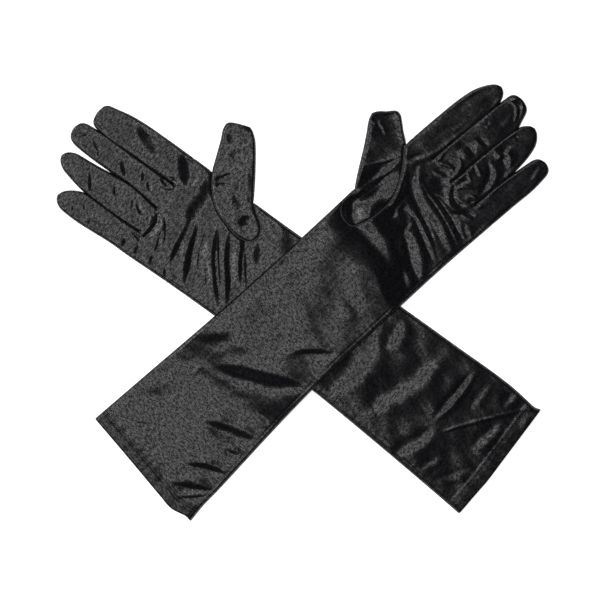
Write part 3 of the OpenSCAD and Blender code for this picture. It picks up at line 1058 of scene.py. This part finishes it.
@dataclass
class Glove:
    """One glove: its cloth, hem, seams and stitches."""

    form: GloveForm
    satin: bpy.types.Material
    thumb_satin: bpy.types.Material
    hem_satin: bpy.types.Material
    thread: bpy.types.Material
    step: float = 0.9
    columns: int = 26
    lining_depth: float = 55.0
    cloth: float = 0.45
    pieces: list[bpy.types.Object] = field(default_factory=list)

    def across_shares(self) -> np.ndarray:
        """Shares of the width at which the columns lie, with one column at each point where fingers part."""
        edges = [self.form.little_edge, self.form.thumb_edge]
        low, high = (float(along_curve(FINGER_LINE, edge)) for edge in edges)
        stops = [low, *sorted(self.form.crotches()), high]
        shares = [0.0]
        for a, b in zip(stops[:-1], stops[1:]):
            turn = np.linspace(0, 1, self.columns + 1)[1:]
            bunched = turn - 0.05 * np.sin(2 * math.pi * turn)
            shares.extend(((a + (b - a) * bunched) - low) / (high - low))
        return np.array(shares)

    def digit_shares(self, number: int) -> np.ndarray:
        """Shares of a finger's width that match the hand's columns.

        Args:
            number: The finger's place, counted from the little finger.

        Returns:
            The shares, from 0 to 1.
        """
        part = self.across_shares()[self.columns * number : self.columns * (number + 1) + 1]
        return (part - part[0]) / (part[-1] - part[0])

    def body_rows(self) -> np.ndarray:
        """Positions of the sleeve's and hand's rows, which include the thumb's two root points."""
        first, last = self.form.thumb_root()
        stops = [self.form.hem_width, first, last, FINGER_LINE]
        rows = [np.array([stops[0]])]
        for a, b in zip(stops[:-1], stops[1:]):
            rows.append(np.linspace(a, b, max(3, int(round((b - a) / self.step))) + 1)[1:])
        return np.concatenate(rows)

    def warped(self, u: np.ndarray, v: np.ndarray) -> np.ndarray:
        """Moves points near the cuff so that the mouth has its real, uneven line."""
        return u + along_curve(v, self.form.mouth) * ease((45.0 - u) / 45.0)

    def sleeve_grid(self, rows: np.ndarray) -> tuple[np.ndarray, np.ndarray, np.ndarray, np.ndarray]:
        """Places the columns across some rows of the sleeve and hand.

        Args:
            rows: Positions of the rows along the glove.

        Returns:
            Positions along, positions across, and heights of the palm side and of the back.
        """
        form = self.form
        u = np.repeat(rows[:, None], len(self.across_shares()), 1)
        low, high = along_curve(rows, form.little_edge), along_curve(rows, form.thumb_edge)
        v = spread(low, high, self.across_shares())
        inset = form.body_inset(u, v)
        return self.warped(u, v), v, form.top(u, v, inset), form.bottom(u, v, inset)

    def cloth_room(self, top: np.ndarray, bottom: np.ndarray, layers: int) -> np.ndarray:
        """Thickness of some layers of cloth, less where the glove is too flat for them."""
        return np.minimum(layers * self.cloth, np.maximum(top - bottom - 0.1, 0.0) / 2.0)

    def body(self) -> bpy.types.Object:
        """The sleeve and hand in one cloth, with the inside of the sleeve behind the hem."""
        form, flip = self.form, self.form.side == "right"
        rows = self.body_rows()
        u, v, top_z, bottom_z = self.sleeve_grid(rows)
        mesh = ClothMesh(form)
        top, bottom = mesh.add_layers(u, v, top_z, bottom_z, flip)
        middle = (top_z + bottom_z) / 2
        mesh.close(top[:, 0], bottom[:, 0], u[:, 0], v[:, 0] - EDGE_OUT, middle[:, 0], not flip)
        first, last = form.thumb_root()
        for keep in (rows <= first + 1e-6, rows >= last - 1e-6):
            from_root = np.abs(rows[keep] - np.clip(rows[keep], first, last))
            edge = v[keep, -1] + EDGE_OUT * ease(from_root / 3)
            mesh.close(top[keep, -1], bottom[keep, -1], u[keep, -1], edge, middle[keep, -1], flip)
        deep = rows <= form.hem_width + self.lining_depth
        gap = self.cloth_room(top_z, bottom_z, 1)[deep]
        mesh.add_layers(u[deep], v[deep], top_z[deep] - gap, bottom_z[deep] + gap, not flip)
        return mesh.make(f"{form.side}_sleeve_and_palm", self.satin)

    def hem(self) -> bpy.types.Object:
        """The turned hem: outside, a rounded lip, and the band turned inside."""
        form, flip = self.form, self.form.side == "right"
        rows = np.linspace(0.0, form.hem_width, 11)
        u, v, top_z, bottom_z = self.sleeve_grid(rows)
        mesh = ClothMesh(form)
        cut_edge = np.where(rows > form.hem_width - 0.5, 0.55, 1.0)[:, None]
        thick = self.cloth_room(top_z, bottom_z, 2) * cut_edge
        outsides = []
        for z, inner, turned in ((top_z, top_z - thick, flip), (bottom_z, bottom_z + thick, not flip)):
            outer_ids, inner_ids = mesh.add_layers(u, v, z, inner, turned)
            lip = mesh.add_points(u[0] - EDGE_OUT, v[0], (z[0] + inner[0]) / 2)
            mesh.add_quads(np.stack([outer_ids[0], lip, inner_ids[0]]), not turned)
            outsides.append(outer_ids)
        top, bottom = outsides
        middle = (top_z + bottom_z) / 2
        for k, out, turned in ((0, -EDGE_OUT, not flip), (-1, EDGE_OUT, flip)):
            mesh.close(top[:, k], bottom[:, k], u[:, k], v[:, k] + out, middle[:, k], turned)
        return mesh.make(f"{form.side}_cuff_hem", self.hem_satin)

    def tube(self, shape: Digit, lines: np.ndarray, ahead: np.ndarray, aside: np.ndarray, inset: np.ndarray,
             root: float, sideways: bool) -> ClothMesh:
        """The cloth of one finger or thumb, open towards the hand.

        Args:
            shape: Its outline.
            lines: Where each line of vertices across it lies.
            ahead: Positions of the vertices along it.
            aside: Their positions across it.
            inset: Their distances from its two edges.
            root: Where it starts.
            sideways: True for the thumb, which points across the glove.

        Returns:
            The mesh.
        """
        form, turn = self.form, -1 if sideways else 1
        flip = (form.side == "right") != sideways
        inset = np.maximum(np.minimum(inset, shape.end + DIGIT_EDGE_OUT - ahead), 0.0)
        u, v = (ahead, aside)[::turn]
        z_top, z_bottom = form.top(u, v, inset), form.bottom(u, v, inset)
        mesh = ClothMesh(form)
        top, bottom = mesh.add_layers(u, v, z_top, z_bottom, flip)
        middle = (z_top + z_bottom) / 2
        out = DIGIT_EDGE_OUT * ease((lines - root) / 3.0)
        for k, step_out, turned in ((0, -out, not flip), (-1, out, flip)):
            u, v = (ahead[:, k], aside[:, k] + step_out)[::turn]
            mesh.close(top[:, k], bottom[:, k], u, v, middle[:, k], turned)
        u, v = (ahead[-1] + DIGIT_EDGE_OUT, aside[-1])[::turn]
        mesh.close(top[-1], bottom[-1], u, v, middle[-1], flip)
        return mesh

    def finger(self, number: int, shape: Digit) -> bpy.types.Object:
        """One finger tube.

        Args:
            number: The finger's place, counted from the little finger.
            shape: Its outline.

        Returns:
            The piece.
        """
        rows = shape.rows(FINGER_LINE, self.step)
        shares = self.digit_shares(number)
        low, high = shape.edges(rows)
        tuck = 0.22 * ease((rows - FINGER_LINE) / 6.0) * ease((shape.shoulder - 6.0 - rows) / 8.0)
        low = low - tuck * self.closed_slit(number, rows)
        high = high + tuck * self.closed_slit(number + 1, rows)
        u, v = np.repeat(rows[:, None], len(shares), 1), spread(low, high, shares)
        inset = np.minimum(v - low[:, None], high[:, None] - v)
        mesh = self.tube(shape, rows, u, v, inset, FINGER_LINE, sideways=False)
        return mesh.make(f"{self.form.side}_{shape.name}_finger", self.satin)

    def closed_slit(self, number: int, rows: np.ndarray) -> np.ndarray:
        """How far two neighbouring fingers lie against each other.

        Args:
            number: The slit, counted from the little finger's.
            rows: Positions along the glove.

        Returns:
            1 where they touch and 0 where a gap opens between them.
        """
        fingers = self.form.fingers[::-1]
        if not 0 < number < 4:
            return np.zeros_like(rows)
        high = along_curve(rows, fingers[number - 1].high_edge)
        low = along_curve(rows, fingers[number].low_edge)
        return ease((0.9 - (low - high)) / 0.6)

    def thumb(self) -> bpy.types.Object:
        """The thumb beyond the palm's edge."""
        form, shape = self.form, self.form.thumb
        first, last = form.thumb_root()
        roots = self.body_rows()
        roots = roots[(roots >= first - 1e-6) & (roots <= last + 1e-6)]
        lines = shape.rows(THUMB_LINE, self.step)
        low, high = shape.edges(lines)
        u = spread(low, high, (roots - first) / (last - first))
        past_line = along_curve(roots, form.thumb_edge) - THUMB_LINE
        v = lines[:, None] + past_line[None, :] * (1.0 - ease((lines - THUMB_LINE) / 9.0))[:, None]
        lean = 1.0 - 0.25 * ease((lines - THUMB_LINE) / 12.0)
        inset = np.minimum(u - low[:, None], high[:, None] - u) * lean[:, None]
        mesh = self.tube(shape, lines, v, u, inset, THUMB_LINE, sideways=True)
        return mesh.make(f"{form.side}_thumb_tube", self.thumb_satin)

    def on_cloth(self, u: np.ndarray, v: np.ndarray, lift: float, back: bool = False) -> np.ndarray:
        """Points on the cloth.

        Args:
            u: Positions along the glove.
            v: Positions across it.
            lift: How far above the surface, in mm.
            back: Takes the back instead of the palm side.

        Returns:
            The points in metres.
        """
        surface = self.form.bottom if back else self.form.top
        z = surface(u, v, self.form.body_inset(u, v)) + lift
        return self.form.to_frame(self.warped(u, v), v, z)

    def hem_stitches(self) -> bpy.types.Object:
        """The zigzag row that holds the hem, on both sides of the cuff."""
        form, threads = self.form, ThreadMesh(radius=0.2)
        u0 = form.hem_width - 2.0
        low = float(along_curve(u0, form.little_edge)) + 1.5
        high = float(along_curve(u0, form.thumb_edge)) - 1.5
        count = 44
        for i in range(count):
            a = low + (high - low) * i / count
            b = low + (high - low) * (i + 0.86) / count
            s = np.linspace(0, 1, 6)
            v = a + (b - a) * s
            u = u0 + (0.75 if i % 2 else -0.75) * (2 * s - 1)
            threads.add(self.on_cloth(u, v, 0.1))
            if i % 2:
                threads.add(self.on_cloth(u, v, -0.02, back=True))
        return threads.make(f"{form.side}_hem_stitch_row", self.thread)

    def side_stitches(self) -> bpy.types.Object:
        """The running stitches of the little-finger side seam on the sleeve."""
        form, threads = self.form, ThreadMesh(radius=0.17)
        count = 66
        for i in range(count):
            a = 12.0 + (form.wrist - 26.0) * i / count
            u = np.linspace(a, a + 2.3, 5)
            v = along_curve(u, form.little_edge) + form.seam_inset
            threads.add(self.on_cloth(u, v, 0.06))
        return threads.make(f"{form.side}_side_seam_row", self.thread)

    def thumb_welt(self) -> bpy.types.Object:
        """The raised seam round the thumb piece, with its stitches."""
        form, threads = self.form, ThreadMesh(radius=0.5, sides=8)
        line = dense_path(form.thumb_seam, 1.0)
        inside = line[line[:, 1] < THUMB_LINE - 0.6]
        threads.add(self.on_cloth(inside[:, 0], inside[:, 1], 0.15))
        for i in range(2, len(inside) - 3, 3):
            part = inside[i : i + 3]
            threads.add(self.on_cloth(part[:, 0], part[:, 1], 0.6), radius=0.14)
        return threads.make(f"{form.side}_thumb_welt", self.thread)

    def build(self) -> None:
        """Makes every piece, rides the hem and the stitch rows on their bodies and hides the solids that the
        pieces stand for.
        """
        form, side = self.form, self.form.side
        body, hem = self.body(), self.hem()
        fingers = [self.finger(i, shape) for i, shape in enumerate(form.fingers[::-1])]
        thumb = self.thumb()
        join_normals([body, hem, *fingers, thumb])
        self.bend(body, (form.wrist - WRIST_BEND, 2),
                  (form.wrist + WRIST_BEND, 2))
        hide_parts(f"{side}_sleeve_palm_layer", f"{side}_sleeve_back_layer", f"{side}_palm",
                    f"{side}_hand_back", f"{side}_thumb_base")
        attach(hem, f"{side}_sleeve")
        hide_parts(f"{side}_hem_palm_side", f"{side}_hem_back_side")
        for piece, shape in zip(fingers, form.fingers[::-1]):
            middle = (shape.low_edge[0][1] + shape.high_edge[0][1]) / 2
            self.bend(piece, (FINGER_LINE, middle),
                      (FINGER_LINE + DIGIT_BEND, middle))
            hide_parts(f"{side}_{shape.name}_palm_side", f"{side}_{shape.name}_back")
        self.bend(thumb, (THUMB_MIDDLE, THUMB_LINE),
                  (THUMB_MIDDLE, THUMB_LINE + DIGIT_BEND))
        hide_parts(f"{side}_thumb_palm_side", f"{side}_thumb_back")
        rows = {
            "hem": (self.hem_stitches(), f"{side}_sleeve", f"{side}_hem_stitching"),
            "seam": (self.side_stitches(), f"{side}_sleeve", f"{side}_side_seam_stitching"),
            "welt": (self.thumb_welt(), f"{side}_hand", f"{side}_thumb_seam"),
        }
        for piece, rides_on, node in rows.values():
            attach(piece, rides_on)
            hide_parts(node)
        self.pieces = [body, hem, *fingers, thumb, *(r[0] for r in rows.values())]
        for piece in self.pieces:
            LOG.info("%s: %d vertices", piece.name, len(piece.data.vertices))

    def bend(self, piece: bpy.types.Object, start: tuple, end: tuple) -> None:
        """Bakes a piece's placement into its mesh; the piece is not bent.

        Args:
            piece: The piece.
            start: (u, v) where it would begin to bend; not used.
            end: (u, v) where it would have bent; not used.
        """
        ends = self.form.to_frame(np.array([start[0], end[0]], float), np.array([start[1], end[1]], float),
                                  np.array([3.0, 3.0]))
        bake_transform(piece)


# ---- floor, light and camera ----


@dataclass(frozen=True)
class Panel:
    """A soft light panel that faces straight down."""

    name: str
    centre: tuple[float, float, float]
    size: tuple[float, float]
    power: float

    def make(self) -> bpy.types.Object:
        """Makes the light."""
        data = bpy.data.lights.new(self.name, "AREA")
        data.shape = "RECTANGLE"
        data.size, data.size_y = self.size
        data.energy = self.power
        light = bpy.data.objects.new(self.name, data)
        light.location = self.centre
        bpy.context.scene.collection.objects.link(light)
        return light


@dataclass(frozen=True)
class Studio:
    """The floor, lights and camera."""

    panels: tuple[Panel, ...] = (
        Panel("lower_panel", (-0.60, -0.25, 2.6), (1.4, 0.74), 8.6),
        Panel("edge_panel", (-0.07, 1.66, 2.6), (0.30, 3.08), 11.8),
        Panel("upper_panel", (-0.76, 1.66, 2.6), (1.08, 3.08), 14.2),
        Panel("far_panel", (-2.2, 0.79, 2.6), (1.8, 2.82), 80.0),
    )
    camera_height: float = 1.60
    centre: tuple[float, float] = (-0.00174, 0.0002)
    frame_width: float = 0.4574
    # brightness of the room by height: horizon 0, straight up 1
    room: Points = ((0.12, 0.9), (0.18, 0.16), (0.70, 0.16), (0.80, 0.012))

    def build(self) -> None:
        """Makes everything that isn't part of the gloves."""
        bpy.ops.mesh.primitive_plane_add(size=6.0, location=(0, 0, -0.0002))
        floor = bpy.context.object
        floor.name = "floor"
        floor.data.materials.append(FloorFinish().material())
        for panel in self.panels:
            panel.make()
        bpy.context.scene.world = self.surroundings()
        data = bpy.data.cameras.new("camera")
        data.sensor_fit = "HORIZONTAL"
        data.angle = 2 * math.atan(self.frame_width / 2 / (self.camera_height - 0.004))
        data.clip_start = 0.01
        camera = bpy.data.objects.new("camera", data)
        camera.location = Vector((*self.centre, self.camera_height))
        bpy.context.scene.collection.objects.link(camera)
        bpy.context.scene.camera = camera
        bpy.context.scene.view_settings.view_transform = "Standard"

    def surroundings(self) -> bpy.types.World:
        """Makes a dark ceiling over dim walls, with a pale strip at the horizon.

        Returns:
            The world.
        """
        world = bpy.data.worlds.new("air")
        world.use_nodes = True
        tree = world.node_tree
        place, parts, shades = (add_node(tree, kind) for kind in ("TexCoord", "SeparateXYZ", "ValToRGB"))
        stops = shades.color_ramp.elements
        while len(stops) < len(self.room):
            stops.new(0.5)
        for stop, (height, shade) in zip(stops, self.room):
            stop.position = height
            stop.color = (shade, shade, shade, 1.0)
        wire(tree, (place, "Generated", parts, "Vector"), (parts, "Z", shades, "Fac"),
             (shades, "Color", tree.nodes["Background"], "Color"))
        return world


def main() -> None:
    """Builds the gloves and the studio."""
    logging.basicConfig(level=logging.INFO, format="%(name)s: %(message)s", stream=sys.stdout)
    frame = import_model()
    Studio().build()
    joints = frame["record"]["behaviour"]["joints"]
    satin = SatinFinish("palm_satin").material()
    thumb_satin = SatinFinish("thumb_satin").material()
    hem_satin = SatinFinish("hem_satin", float_roughness=0.24, coat_ior=1.43).material()
    thread = ThreadFinish("sewing_thread").material()
    for form in (right_form(), left_form()):
        form.place(joints)
        Glove(form, satin, thumb_satin, hem_satin, thread).build()
    bpy.context.view_layer.update()


if __name__ == "__main__":
    main()
